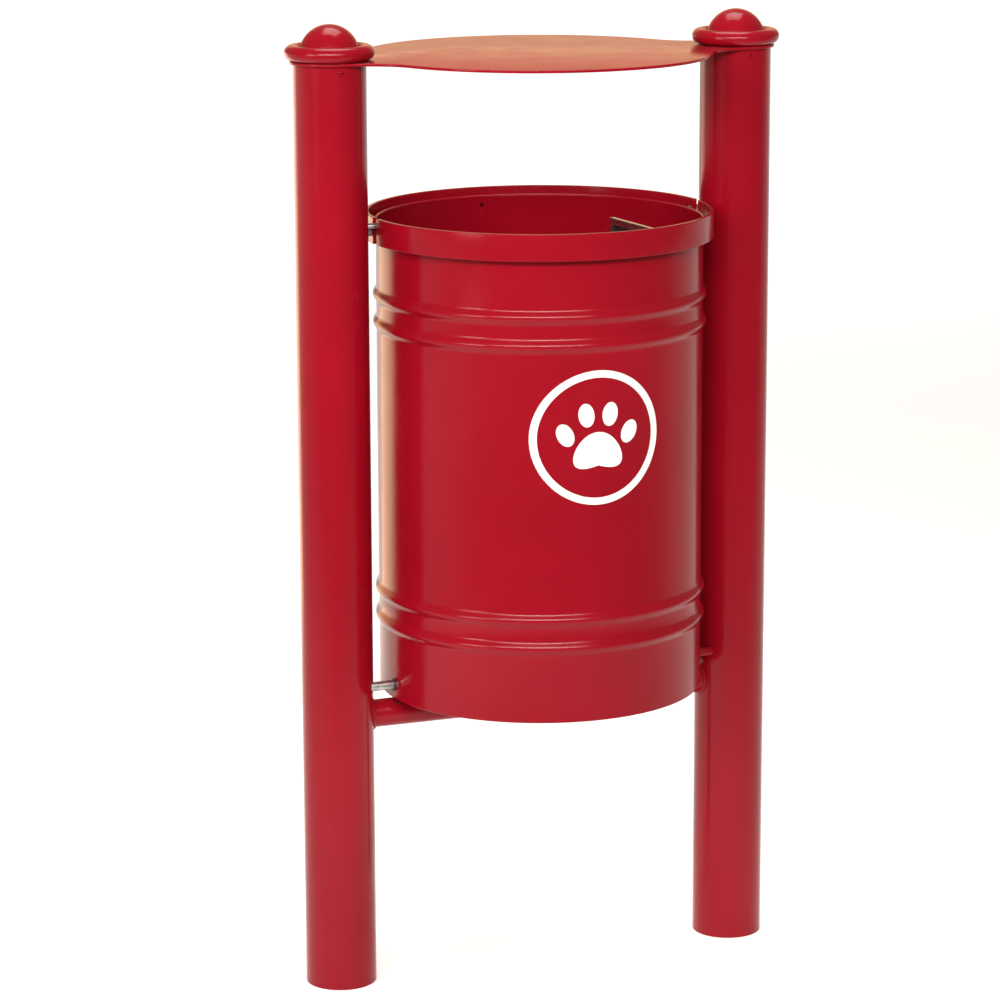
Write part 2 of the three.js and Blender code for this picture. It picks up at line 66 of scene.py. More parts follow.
def finished(name, shape, material, sharp_degrees=SHARP_DEGREES):
    """Closes a bmesh as a smooth-shaded object at the origin, with its normals pointing outwards."""
    bmesh.ops.remove_doubles(shape, verts=shape.verts, dist=1e-7)
    bmesh.ops.recalc_face_normals(shape, faces=shape.faces)
    mesh = bpy.data.meshes.new(name)
    shape.to_mesh(mesh)
    shape.free()
    mesh.shade_smooth()
    mesh.set_sharp_from_angle(angle=math.radians(sharp_degrees))
    mesh.materials.append(material)
    piece = bpy.data.objects.new(name, mesh)
    bpy.context.scene.collection.objects.link(piece)
    return piece


def outline(shape, points, closed):
    """Adds a chain of points joined by edges, and gives its vertices and edges."""
    corners = [shape.verts.new(point) for point in points]
    ends = zip(corners, corners[1:] + corners[:1]) if closed else zip(corners, corners[1:])
    return corners + [shape.edges.new(pair) for pair in ends]


def turned(profile, steps, closed=True):
    """Spins a profile of (radius, height) pairs a full turn about Z."""
    shape = bmesh.new()
    chain = outline(shape, [(radius, 0.0, height) for radius, height in profile], closed)
    bmesh.ops.spin(
        shape, geom=chain, cent=(0, 0, 0), axis=(0, 0, 1), angle=2 * math.pi, steps=steps, use_merge=True
    )
    return shape


def arc(centre_r, centre_z, radius, start, end, steps):
    """Points of a round stretch of a profile, between two angles in degrees."""
    angles = [math.radians(start + (end - start) * i / steps) for i in range(steps + 1)]
    return [(centre_r + radius * math.cos(a), centre_z + radius * math.sin(a)) for a in angles]


def moved(shape, offset):
    """Shifts a bmesh by an offset."""
    bmesh.ops.translate(shape, vec=offset, verts=shape.verts)
    return shape


def rod(radius, start, end, steps=24, chamfer=0.0):
    """A round bar between two points, with chamfered ends."""
    start, end = Vector(start), Vector(end)
    shape = bmesh.new()
    length = (end - start).length
    bmesh.ops.create_cone(
        shape, cap_ends=True, cap_tris=False, segments=steps, radius1=radius, radius2=radius, depth=length
    )
    if chamfer:
        rims = [edge for edge in shape.edges if abs(edge.verts[0].co.z - edge.verts[1].co.z) < 1e-9]
        bmesh.ops.bevel(
            shape, geom=rims, offset=chamfer, segments=2, profile=0.5, affect="EDGES", material=-1
        )
    turn = (end - start).to_track_quat("Z", "Y").to_matrix().to_4x4()
    bmesh.ops.transform(shape, matrix=Matrix.Translation((start + end) / 2) @ turn, verts=shape.verts)
    return shape


def drilled(piece, holes):
    """Cuts round holes through a piece; each hole is (radius, start, end)."""
    for radius, start, end in holes:
        cutter = finished("cutter", rod(radius, start, end, steps=32), piece.data.materials[0])
        cut = piece.modifiers.new("hole", "BOOLEAN")
        cut.operation = "DIFFERENCE"
        cut.solver = "EXACT"
        cut.object = cutter
        bpy.context.view_layer.update()
        seen = piece.evaluated_get(bpy.context.evaluated_depsgraph_get())
        bored = bpy.data.meshes.new_from_object(seen)
        piece.modifiers.clear()
        piece.data = bored
        bpy.data.objects.remove(cutter)
    piece.data.shade_smooth()
    piece.data.set_sharp_from_angle(angle=math.radians(SHARP_DEGREES))
    return piece


def add_node(tree, kind, **inputs):
    """Adds a shader node and sets its inputs by name."""
    node = tree.nodes.new(kind)
    for name, value in inputs.items():
        node.inputs[name.replace("_", " ")].default_value = value
    return node


def new_material(name):
    """A material with its shader, and object coordinates to read."""
    material = bpy.data.materials.new(name)
    material.use_nodes = True
    tree = material.node_tree
    shader = tree.nodes["Principled BSDF"]
    place = tree.nodes.new("ShaderNodeTexCoord").outputs["Object"]
    return material, tree, shader, place


def noise(tree, place, scale, detail=4.0, roughness=0.5):
    """A cloudy pattern from 0 to 1."""
    node = add_node(tree, "ShaderNodeTexNoise", Scale=scale, Detail=detail, Roughness=roughness)
    tree.links.new(place, node.inputs["Vector"])
    return node.outputs["Fac"]


def spread(tree, value, low_in, high_in, low_out, high_out):
    """Rescales a pattern from one range to another, clamped."""
    node = tree.nodes.new("ShaderNodeMapRange")
    settings = {"From Min": low_in, "From Max": high_in, "To Min": low_out, "To Max": high_out}
    for name, number in settings.items():
        node.inputs[name].default_value = number
    tree.links.new(value, node.inputs["Value"])
    return node.outputs["Result"]


def blend_colours(tree, factor, first, second):
    """Mixes two colours, or a colour socket and a colour, by a pattern."""
    node = tree.nodes.new("ShaderNodeMix")
    node.data_type = "RGBA"
    tree.links.new(factor, node.inputs["Factor"])
    for socket, colour in ((node.inputs[6], first), (node.inputs[7], second)):
        if isinstance(colour, tuple):
            socket.default_value = colour
        else:
            tree.links.new(colour, socket)
    return node.outputs[2]


def add_bump(tree, shader, height, strength, distance):
    """Presses a pattern into the surface."""
    node = add_node(tree, "ShaderNodeBump", Strength=strength, Distance=distance)
    tree.links.new(height, node.inputs["Height"])
    tree.links.new(node.outputs["Normal"], shader.inputs["Normal"])


def multiply(tree, first, second):
    """Multiplies one pattern by another."""
    node = tree.nodes.new("ShaderNodeMath")
    node.operation = "MULTIPLY"
    tree.links.new(first, node.inputs[0])
    tree.links.new(second, node.inputs[1])
    return node.outputs[0]


def powder_coat(name):
    """Red powder coat: faint orange peel, slow shifts of shade, and a little dust on upward faces."""
    material, tree, shader, place = new_material(name)
    shade = spread(tree, noise(tree, place, 5.0, 3.0), 0.35, 0.65, 0.0, 1.0)
    red = blend_colours(tree, shade, PAINT_DEEP_RED, PAINT_RED)
    normal = tree.nodes.new("ShaderNodeNewGeometry").outputs["Normal"]
    split = tree.nodes.new("ShaderNodeSeparateXYZ")
    tree.links.new(normal, split.inputs[0])
    upward = spread(tree, split.outputs["Z"], 0.75, 1.0, 0.0, 0.10)
    patches = spread(tree, noise(tree, place, 38.0, 6.0, 0.65), 0.42, 0.68, 0.15, 1.0)
    dusty = multiply(tree, upward, patches)
    tree.links.new(blend_colours(tree, dusty, red, PAINT_DUST), shader.inputs["Base Color"])
    touched = noise(tree, place, 22.0, 5.0, 0.6)
    handled = spread(tree, touched, 0.3, 0.75, PAINT_GLOSS - 0.03, PAINT_GLOSS + 0.08)
    tree.links.new(handled, shader.inputs["Roughness"])
    shader.inputs["Specular IOR Level"].default_value = PAINT_SHINE
    peel = noise(tree, place, 620.0, 2.0, 0.45)
    add_bump(tree, shader, peel, 0.06, 0.0002)
    return material


red_paint = powder_coat("red_powder_coat")


def half_size(node, axis):
    """Half of a node's size along one axis."""
    low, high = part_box(node)
    return (high[axis] - low[axis]) / 2


def middle(node):
    """The middle of a node's box."""
    low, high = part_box(node)
    return (low + high) / 2


def coat(node, material):
    """Gives a node that is kept as it is its material."""
    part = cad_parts[node]
    part.data.materials.clear()
    part.data.materials.append(material)


post_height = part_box("left_post")[1].z
post_radius = half_size("left_post", 1)
post_x = middle("right_post").x
pin_radius = half_size("left_pivot_pin", 2)
pin_y, pin_z = middle("left_pivot_pin").y, middle("left_pivot_pin").z
hang_x = middle("drum_shell").x
hang = Vector((hang_x, 0.0, 0.0))
hoop_low, hoop_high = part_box("front_hoop")
hoop_middle_z = (hoop_low.z + hoop_high.z) / 2
hoop_bolt_y = middle("left_hoop_bolt").y
keeper_middle = middle("lock_keeper_pin")

for side_name, side in (("left", -1), ("right", 1)):
    bore = post_radius - POST_WALL
    bands = [(post_radius, height) for height in POST_BANDS]
    post_profile = [
        (bore, EDGE_BREAK),
        (bore + EDGE_BREAK, 0.0),
        (post_radius - EDGE_BREAK, 0.0),
        (post_radius, EDGE_BREAK),
        *bands,
        (post_radius, post_height - EDGE_BREAK),
        (post_radius - EDGE_BREAK, post_height),
        (bore, post_height),
    ]
    post = finished(f"{side_name}_post_tube", turned(post_profile, POST_STEPS), red_paint)
    post.data.transform(Matrix.Translation((side * post_x, 0, 0)))
    inward = side * (post_x - post_radius - 0.01)
    centre = side * post_x
    screw = middle(f"{side_name}_cap_screw")
    screw_bore = half_size(f"{side_name}_cap_screw", 0) + SLIP
    post_holes = [
        (pin_radius + SLIP, (inward, pin_y, pin_z), (centre, pin_y, pin_z)),
        (POST_BOLT_HOLE, (inward, hoop_bolt_y, hoop_middle_z), (centre, hoop_bolt_y, hoop_middle_z)),
        (screw_bore, (screw.x, SCREW_HOLE_START, screw.z), (screw.x, SCREW_HOLE_END, screw.z)),
    ]
    if side < 0:
        keeper_bore = half_size("lock_keeper_pin", 2) + SLIP
        keeper_y, keeper_z = keeper_middle.y, keeper_middle.z
        post_holes.append((keeper_bore, (inward, keeper_y, keeper_z), (centre, keeper_y, keeper_z)))
    drilled(post, post_holes)
    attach(post, "frame")
    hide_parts(f"{side_name}_post")

# ------------------------------------------------------------------ crossbar
# A length of 30 mm tube, coped to the posts at both ends and welded all round. The tilted drum's
# skirt comes to rest on it.

BAR_SINK = 0.0004
BAR_STEPS = 64
BAR_CUTS = 12
WELD_RADIUS = 0.0022
WELD_STEPS = 120
WELD_SECTION_STEPS = 10
WELD_RIPPLE = 0.0003
WELD_RIPPLES = 24

bar_radius = half_size("crossbar", 2)
bar_z = middle("crossbar").z


def coped_x(radius_on_bar, angle):
    """How far from the middle the bar's surface meets the post, at an angle round the bar."""
    across = radius_on_bar * math.sin(angle)
    return post_x - math.sqrt(post_radius**2 - across**2)


crossbar_shape = bmesh.new()
bar_rings = []
for end in (-1, 1):
    angles = [2 * math.pi * i / BAR_STEPS for i in range(BAR_STEPS)]
    ring_points = []
    for a in angles:
        reach = coped_x(bar_radius, a) + BAR_SINK
        ring_points.append((end * reach, bar_radius * math.sin(a), bar_z + bar_radius * math.cos(a)))
    ring = outline(crossbar_shape, ring_points, True)
    bar_rings += [part for part in ring if isinstance(part, bmesh.types.BMEdge)]
bmesh.ops.bridge_loops(crossbar_shape, edges=bar_rings)
lengthwise = [e for e in crossbar_shape.edges if abs(e.verts[0].co.x - e.verts[1].co.x) > bar_radius]
bmesh.ops.subdivide_edges(crossbar_shape, edges=lengthwise, cuts=BAR_CUTS)
bmesh.ops.holes_fill(crossbar_shape, edges=crossbar_shape.edges, sides=0)
crossbar = finished("crossbar_tube", crossbar_shape, red_paint)
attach(crossbar, "frame")
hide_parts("crossbar")

for side_name, side in (("left", -1), ("right", 1)):
    angles = [2 * math.pi * i / WELD_SECTION_STEPS for i in range(WELD_SECTION_STEPS)]
    section = [(bar_radius + WELD_RADIUS * math.cos(a), WELD_RADIUS * math.sin(a)) for a in angles]
    weld_shape = turned(section, WELD_STEPS)
    for vertex in weld_shape.verts:
        angle = math.atan2(vertex.co.y, vertex.co.x)
        reach = math.hypot(vertex.co.x, vertex.co.y) + WELD_RIPPLE * math.sin(WELD_RIPPLES * angle)
        saddle = coped_x(bar_radius, angle) + vertex.co.z - BAR_SINK
        vertex.co = (side * saddle, reach * math.sin(angle), bar_z + reach * math.cos(angle))
    weld = finished(f"{side_name}_crossbar_weld", weld_shape, red_paint, 60.0)
    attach(weld, "frame")

# ------------------------------------------------------------------ roof plate
# One flat 3 mm plate, laser cut as a disc with a round ear over each post and painted with the rest.
# The caps clamp its ears on the post tops.

ROOF_RADIUS = 0.185
ROOF_FILLET = 0.060
ROOF_EDGE = 0.0006

roof_low, roof_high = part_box("roof_plate")
ear_radius = roof_high.x - post_x


def flat_arc(centre, radius, start, end, steps):
    """Points of a round stretch in plan, without its last one."""
    angles = [start + (end - start) * i / steps for i in range(steps)]
    return [(centre[0] + radius * math.cos(a), centre[1] + radius * math.sin(a)) for a in angles]


fillet_y = ear_radius + ROOF_FILLET
fillet_x = math.sqrt((ROOF_RADIUS + ROOF_FILLET) ** 2 - fillet_y**2)
blend_angle = math.atan2(fillet_y, fillet_x)
quarter = math.pi / 2
roof_outline = [
    *flat_arc((post_x, 0), ear_radius, -quarter, quarter, 48),
    *flat_arc((fillet_x, fillet_y), ROOF_FILLET, -quarter, blend_angle - math.pi, 16),
    *flat_arc((0, 0), ROOF_RADIUS, blend_angle, math.pi - blend_angle, 72),
    *flat_arc((-fillet_x, fillet_y), ROOF_FILLET, -blend_angle, -quarter, 16),
    *flat_arc((-post_x, 0), ear_radius, quarter, 3 * quarter, 48),
    *flat_arc((-fillet_x, -fillet_y), ROOF_FILLET, quarter, blend_angle, 16),
    *flat_arc((0, 0), ROOF_RADIUS, math.pi + blend_angle, 2 * math.pi - blend_angle, 72),
    *flat_arc((fillet_x, -fillet_y), ROOF_FILLET, math.pi - blend_angle, quarter, 16),
]
roof_shape = bmesh.new()
roof_face = roof_shape.faces.new([roof_shape.verts.new((x, y, roof_low.z)) for x, y in roof_outline])
roof_sides = bmesh.ops.extrude_face_region(roof_shape, geom=[roof_face], use_keep_orig=True)["geom"]
roof_top_points = [part for part in roof_sides if isinstance(part, bmesh.types.BMVert)]
bmesh.ops.translate(roof_shape, vec=(0, 0, roof_high.z - roof_low.z), verts=roof_top_points)
bmesh.ops.recalc_face_normals(roof_shape, faces=roof_shape.faces)
roof_rims = [e for e in roof_shape.edges if abs(e.verts[0].co.z - e.verts[1].co.z) < 1e-6]
bmesh.ops.bevel(
    roof_shape, geom=roof_rims, offset=ROOF_EDGE, segments=3, profile=0.5, affect="EDGES", material=-1
)
roof = finished("roof_sheet", roof_shape, red_paint)
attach(roof, "frame")
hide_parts("roof_plate")

# ------------------------------------------------------------------ post caps and their screws
# Cast caps pushed into the posts: a hollow spigot, a rounded collar and a low dome, coated red.
# Each is held by one small sunk socket screw through the front of its post, painted over.

CAP_LIFT = 0.0003
CAP_EDGE = 0.0004
CAP_BASE_RADIUS = 0.0395
CAP_RING_MAJOR = 0.0387
CAP_RING_MINOR = 0.008
CAP_RING_HEIGHT = 0.0083
CAP_DOME_RADIUS = 0.0315
CAP_DOME_HEIGHT = 0.0057
CAP_SPIGOT_RADIUS = 0.0356
CAP_WALL = 0.0026
DOME_WALL = 0.004
SOCKET_SHARE = 0.6
SOCKET_DEPTH = 0.003
ZINC_BRIGHT = (0.62, 0.65, 0.65, 1.0)
ZINC_DULL = (0.36, 0.40, 0.41, 1.0)

cap_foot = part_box("left_cap")[0].z
cap_base = roof_high.z + CAP_LIFT
dome_z = cap_base + CAP_DOME_HEIGHT
spigot_bore = CAP_SPIGOT_RADIUS - CAP_WALL
hollow_radius = CAP_DOME_RADIUS - DOME_WALL
for side_name, side in (("left", -1), ("right", 1)):
    cap_profile = [
        (0.0, dome_z + hollow_radius),
        *arc(0, dome_z, hollow_radius, 85, 5, 16),
        (spigot_bore, cap_base),
        (spigot_bore, cap_foot),
        (CAP_SPIGOT_RADIUS, cap_foot),
        (CAP_SPIGOT_RADIUS, cap_base),
        (CAP_BASE_RADIUS - CAP_EDGE, cap_base),
        (CAP_BASE_RADIUS, cap_base + CAP_EDGE),
        *arc(CAP_RING_MAJOR, cap_base + CAP_RING_HEIGHT, CAP_RING_MINOR, -70, 150, 36),
        *arc(0, dome_z, CAP_DOME_RADIUS, 12, 89, 28),
        (0.0, dome_z + CAP_DOME_RADIUS),
    ]
    cap_shape = turned(cap_profile, POST_STEPS, closed=False)
    cap = finished(f"{side_name}_cap_casting", cap_shape, red_paint, 40.0)
    cap.data.transform(Matrix.Translation((side * post_x, 0, 0)))
    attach(cap, "frame")
    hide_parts(f"{side_name}_cap")


def zinc_plate(name, roughness=0.34):
    """Dull zinc on steel: mottled grey, with a fine grain and duller stains."""
    material, tree, shader, place = new_material(name)
    mottle = spread(tree, noise(tree, place, 160.0, 5.0, 0.6), 0.35, 0.68, 0.0, 1.0)
    tree.links.new(blend_colours(tree, mottle, ZINC_DULL, ZINC_BRIGHT), shader.inputs["Base Color"])
    shader.inputs["Metallic"].default_value = 1.0
    stains = noise(tree, place, 420.0, 4.0, 0.6)
    dulled = spread(tree, stains, 0.3, 0.7, roughness - 0.08, roughness + 0.16)
    tree.links.new(dulled, shader.inputs["Roughness"])
    add_bump(tree, shader, noise(tree, place, 1500.0, 3.0, 0.5), 0.12, 0.0002)
    return material


zinc = zinc_plate("zinc_plated_steel")

for side_name, side in (("left", -1), ("right", 1)):
    screw_low, screw_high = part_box(f"{side_name}_cap_screw")
    centre = (screw_low + screw_high) / 2
    radius = (screw_high.x - screw_low.x) / 2
    front = Vector((centre.x, screw_low.y, centre.z))
    body = rod(radius, front, (centre.x, screw_high.y, centre.z), 24, 0.0003)
    screw = finished(f"{side_name}_cap_socket_screw", body, red_paint)
    outside = front - Vector((0, 0.001, 0))
    drilled(screw, [(radius * SOCKET_SHARE, outside, front + Vector((0, SOCKET_DEPTH, 0)))])
    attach(screw, "frame")
    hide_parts(f"{side_name}_cap_screw")

# ------------------------------------------------------------------ hoops
# The collar round the rim is two half hoops rolled from flat bar with softened edges. The rear one is
# bolted to the posts. The front one is welded to the drum on three blocks and tilts with it.
# Everything that hangs between the posts sits a little nearer the right one.

HOOP_THICKNESS = 0.004
HOOP_EDGE = 0.0006
HOOP_STEPS = 120
BOLT_SINK = 0.0022

hoop_radius = -hoop_low.y
hoop_inner = hoop_radius - HOOP_THICKNESS
hoop_gap = -hoop_high.y


def half_hoop(facing):
    """Half of the collar, in front (-1) or behind (+1), with both ends capped."""
    start = math.asin(hoop_gap / hoop_radius)
    edge = HOOP_EDGE
    low, high = hoop_low.z, hoop_high.z
    section = [
        *arc(hoop_radius - edge, low + edge, edge, -90, 0, 4),
        *arc(hoop_radius - edge, high - edge, edge, 0, 90, 4),
        *arc(hoop_inner + edge, high - edge, edge, 90, 180, 4),
        *arc(hoop_inner + edge, low + edge, edge, 180, 270, 4),
    ]
    shape = bmesh.new()
    across, along = math.cos(start), facing * math.sin(start)
    chain = outline(shape, [(radius * across, radius * along, height) for radius, height in section], True)
    span = facing * (math.pi - 2 * start)
    bmesh.ops.spin(shape, geom=chain, cent=(0, 0, 0), axis=(0, 0, 1), angle=span, steps=HOOP_STEPS)
    bmesh.ops.holes_fill(shape, edges=shape.edges, sides=0)
    return moved(shape, hang)


rear_hoop = finished("rear_half_hoop", half_hoop(1), red_paint)
hoop_bores = []
for bolt, side in (("left_hoop_bolt", -1), ("right_hoop_bolt", 1)):
    inner_end = min(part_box(bolt)[0].x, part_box(bolt)[1].x, key=abs)
    near_end = (inner_end - side * 0.005, hoop_bolt_y, hoop_middle_z)
    head_bore = half_size(bolt, 2) + SLIP
    for bore_radius, depth in ((head_bore, BOLT_SINK), (BOLT_RADIUS + SLIP, 0.02)):
        far_end = (inner_end + side * depth, hoop_bolt_y, hoop_middle_z)
        hoop_bores.append((bore_radius, near_end, far_end))
drilled(rear_hoop, hoop_bores)
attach(rear_hoop, "frame")
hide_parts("rear_hoop")

front_hoop = finished("front_half_hoop", half_hoop(-1), red_paint)
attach(front_hoop, "drum")
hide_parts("front_hoop")

for number in (1, 2, 3):
    coat(f"hoop_block_{number}", red_paint)

# ------------------------------------------------------------------ hoop bolts, spacers and rubber stops
# Countersunk bolts hold the rear hoop to the posts over short tube spacers. Two moulded rubber pads on
# its inside face are what the closed drum rests against.


def soft_black(name, roughness, scale):
    """Moulded black rubber or nylon: a fine grain with paler scuffs."""
    material, tree, shader, place = new_material(name)
    scuffs = spread(tree, noise(tree, place, scale, 6.0, 0.7), 0.5, 0.8, 0.0, 0.6)
    colour = blend_colours(tree, scuffs, (0.012, 0.012, 0.013, 1.0), (0.055, 0.052, 0.05, 1.0))
    tree.links.new(colour, shader.inputs["Base Color"])
    worn = spread(tree, noise(tree, place, scale * 2, 4.0), 0.3, 0.7, roughness - 0.1, roughness + 0.1)
    tree.links.new(worn, shader.inputs["Roughness"])
    add_bump(tree, shader, noise(tree, place, scale * 9, 3.0), 0.25, 0.0002)
    return material


BOLT_HEAD_DEPTH = 0.002
BOLT_SOCKET_RADIUS = 0.0022
BOLT_SOCKET_DEPTH = 0.0012
BOLT_EDGE = 0.0002

rubber = soft_black("moulded_rubber", 0.78, 110.0)
nylon = soft_black("moulded_nylon", 0.5, 150.0)

for side_name, side in (("left", -1), ("right", 1)):
    bolt_low, bolt_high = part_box(f"{side_name}_hoop_bolt")
    head_radius = (bolt_high.z - bolt_low.z) / 2
    inner_end, outer_end = sorted((bolt_low.x, bolt_high.x), key=abs)
    bolt_length = abs(outer_end - inner_end)
    head_profile = [
        (0.0, BOLT_SOCKET_DEPTH),
        (BOLT_SOCKET_RADIUS, BOLT_SOCKET_DEPTH),
        (BOLT_SOCKET_RADIUS + BOLT_EDGE, 0.0),
        (head_radius - BOLT_EDGE, 0.0),
        (head_radius, 0.0003),
        (BOLT_RADIUS, BOLT_HEAD_DEPTH),
        (BOLT_RADIUS, bolt_length),
        (0.0, bolt_length),
    ]
    bolt_shape = turned(head_profile, 36, closed=False)
    quarter_turn = Matrix.Rotation(side * math.pi / 2, 4, "Y")
    place_bolt = Matrix.Translation((inner_end, hoop_bolt_y, hoop_middle_z)) @ quarter_turn
    bmesh.ops.transform(bolt_shape, matrix=place_bolt, verts=bolt_shape.verts)
    bolt = finished(f"{side_name}_hoop_countersunk_bolt", bolt_shape, zinc, 25.0)
    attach(bolt, "frame")
    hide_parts(f"{side_name}_hoop_bolt")
    coat(f"{side_name}_hoop_spacer", zinc)

for number in (1, 2):
    coat(f"rubber_stop_{number}", rubber)

# ------------------------------------------------------------------ keeper pin and pivot hardware
# Pins are fixed in the posts: a plated one that the lock closes on, a plated left pivot pin, and a
# right one painted with the post. Each has a nylon washer outside the drum and a nut inside its skirt.

keeper_low, keeper_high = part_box("lock_keeper_pin")
keeper_ends = [(x, keeper_middle.y, keeper_middle.z) for x in (keeper_low.x, keeper_high.x)]
keeper = finished("keeper_pin", rod(half_size("lock_keeper_pin", 2), *keeper_ends, 32, 0.0006), zinc)
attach(keeper, "frame")
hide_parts("lock_keeper_pin")

THREAD_PITCH = 0.0015
THREAD_DEPTH = 0.0007
THREAD_TURNS = 12
THREAD_START = 0.0012
SHANK_START = 0.0205

for side_name, side in (("left", -1), ("right", 1)):
    pin_low, pin_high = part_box(f"{side_name}_pivot_pin")
    inner_end, outer_end = sorted((pin_low.x, pin_high.x), key=abs)
    length = abs(outer_end - inner_end)
    root = pin_radius - THREAD_DEPTH
    pin_profile = [(0.0, 0.0), (pin_radius - THREAD_START, 0.0), (root, THREAD_START / 2)]
    for turn_number in range(THREAD_TURNS):
        crest = THREAD_START + turn_number * THREAD_PITCH
        pin_profile.append((pin_radius - 0.0001, crest))
        pin_profile.append((root, crest + THREAD_PITCH / 2))
    pin_profile += [
        (pin_radius, SHANK_START),
        (pin_radius, length - EDGE_BREAK),
        (pin_radius - EDGE_BREAK, length),
        (0.0, length),
    ]
    pin_shape = turned(pin_profile, 36, closed=False)
    quarter_turn = Matrix.Rotation(side * math.pi / 2, 4, "Y")
    place_pin = Matrix.Translation((inner_end, pin_y, pin_z)) @ quarter_turn
    bmesh.ops.transform(pin_shape, matrix=place_pin, verts=pin_shape.verts)
    pin = finished(f"{side_name}_threaded_pivot_pin", pin_shape, zinc if side < 0 else red_paint, 28.0)
    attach(pin, "frame")
    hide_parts(f"{side_name}_pivot_pin")

    washer_low, washer_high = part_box(f"{side_name}_pivot_washer")
    washer_shape = rod(
        half_size(f"{side_name}_pivot_washer", 2),
        (washer_low.x, pin_y, pin_z),
        (washer_high.x, pin_y, pin_z),
        36,
        0.0004,
    )
    washer = finished(f"{side_name}_nylon_washer", washer_shape, nylon)
    washer_ends = [(x, pin_y, pin_z) for x in (washer_low.x - 0.01, washer_high.x + 0.01)]
    drilled(washer, [(pin_radius + 0.0002, *washer_ends)])
    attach(washer, "frame")
    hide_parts(f"{side_name}_pivot_washer")

    nut_low, nut_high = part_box(f"{side_name}_pivot_nut")
    nut_radius = max(nut_high.y - nut_low.y, nut_high.z - nut_low.z) / 2
    nut_shape = rod(nut_radius, (nut_low.x, pin_y, pin_z), (nut_high.x, pin_y, pin_z), 6, 0.0006)
    nut = finished(f"{side_name}_hex_nut", nut_shape, zinc, 20.0)
    nut_ends = [(x, pin_y, pin_z) for x in (nut_low.x - 0.01, nut_high.x + 0.01)]
    drilled(nut, [(pin_radius + 0.0001, *nut_ends)])
    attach(nut, "frame")
    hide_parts(f"{side_name}_pivot_nut")

    coat(f"{side_name}_pivot_plate", red_paint)

# ------------------------------------------------------------------ drum
# Rolled from 1.5 mm steel sheet with two pairs of stiffening beads and a curled rim, and coated inside
# and out. A pressed floor with drain holes sits up inside the skirt.

DRUM_WALL = 0.0015
DRUM_RADIUS = 0.174
DRUM_STEPS = 192
BEAD_DEPTH = 0.0038
BEAD_HALF_WIDTH = 0.009
BEAD_PAIR_OFFSET = 0.1595
BEAD_HALF_SPACING = 0.0149
BEAD_STEPS = 14
CURL_RADIUS = 0.002
CURL_NECK = 0.0006
SKIRT_EDGE = 0.0004
LOCK_HOLE = 0.0067
REAR_HOLE_RADIUS = 0.0025
REAR_HOLE_Z = 0.811

drum_low, drum_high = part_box("drum_shell")
drum_middle = (drum_low.z + drum_high.z) / 2
drum_bore = DRUM_RADIUS - DRUM_WALL
bead_heights = [
    drum_middle + pair * BEAD_PAIR_OFFSET + bead * BEAD_HALF_SPACING for pair in (-1, 1) for bead in (-1, 1)
]


def beaded_wall(radius):
    """Wall points from bottom to top; each bead swells out as half a cosine wave."""
    points = []
    for height in bead_heights:
        for i in range(BEAD_STEPS + 1):
            t = 2 * i / BEAD_STEPS - 1
            swell = BEAD_DEPTH * (1 + math.cos(math.pi * t)) / 2
            points.append((radius + swell, height + t * BEAD_HALF_WIDTH))
    return points


curl_z = drum_high.z - CURL_RADIUS
shell_profile = [
    (drum_bore, drum_low.z + SKIRT_EDGE),
    (drum_bore + SKIRT_EDGE, drum_low.z),
    (DRUM_RADIUS - SKIRT_EDGE, drum_low.z),
    (DRUM_RADIUS, drum_low.z + SKIRT_EDGE),
    *beaded_wall(DRUM_RADIUS),
    (DRUM_RADIUS, curl_z - CURL_RADIUS - CURL_NECK),
    *arc(DRUM_RADIUS, curl_z, CURL_RADIUS, -90, 200, 20),
    (drum_bore, curl_z - CURL_RADIUS),
    *reversed(beaded_wall(drum_bore)),
]
shell = finished("drum_rolled_shell", moved(turned(shell_profile, DRUM_STEPS), hang), red_paint, 50.0)
lock_y, lock_z = middle("lock_housing").y, middle("lock_housing").z
drilled(
    shell,
    [
        (pin_radius + SLIP, (-0.2, pin_y, pin_z), (-0.15, pin_y, pin_z)),
        (pin_radius + SLIP, (0.15, pin_y, pin_z), (0.2, pin_y, pin_z)),
        (LOCK_HOLE, (-0.2, lock_y, lock_z), (-0.15, lock_y, lock_z)),
        (REAR_HOLE_RADIUS, (hang_x, 0.15, REAR_HOLE_Z), (hang_x, 0.2, REAR_HOLE_Z)),
    ],
)
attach(shell, "drum")
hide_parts("drum_shell")

coat("drum_floor", red_paint)

# ------------------------------------------------------------------ bag plate
# A folded sheet plate, riveted to the front wall, stands inwards for the bag's mouth to hook over. Its
# face has a near-black colour that is painted shade, for the shadow it stands in. A bright zinc strip is
# pressed along its free edges so that it can't cut the bag.


def painted_shade_finish(name):
    """Satin near-black coat with grey rub marks; its near-black is painted shade for the plate's shadowed
    face.
    """
    material, tree, shader, place = new_material(name)
    rubbed = spread(tree, noise(tree, place, 60.0, 6.0, 0.7), 0.58, 0.8, 0.0, 0.5)
    colour = blend_colours(tree, rubbed, (0.006, 0.007, 0.007, 1.0), (0.05, 0.05, 0.052, 1.0))
    tree.links.new(colour, shader.inputs["Base Color"])
    sheen = spread(tree, noise(tree, place, 30.0, 4.0), 0.3, 0.7, 0.38, 0.55)
    tree.links.new(sheen, shader.inputs["Roughness"])
    add_bump(tree, shader, noise(tree, place, 700.0, 2.0), 0.12, 0.0003)
    return material


painted_shade_sheet = painted_shade_finish("painted_shade_sheet_coat")
bright_strip = zinc_plate("bright_zinc_strip", 0.24)

# The plate's near-black colour is painted shade, standing in for the shadow on its face.
coat("bag_hook_plate", painted_shade_sheet)
coat("bag_hook_edging", bright_strip)
for number in (1, 2):
    coat(f"bag_hook_rivet_{number}", zinc)

# ------------------------------------------------------------------ lock
# A plated key lock on the inside of the drum's left wall. Its plug turns a flat cam outside the wall,
# behind the collar, whose curved slot closes over the keeper pin.

for node in ("lock_housing", "lock_plug", "lock_cam"):
    coat(node, zinc)

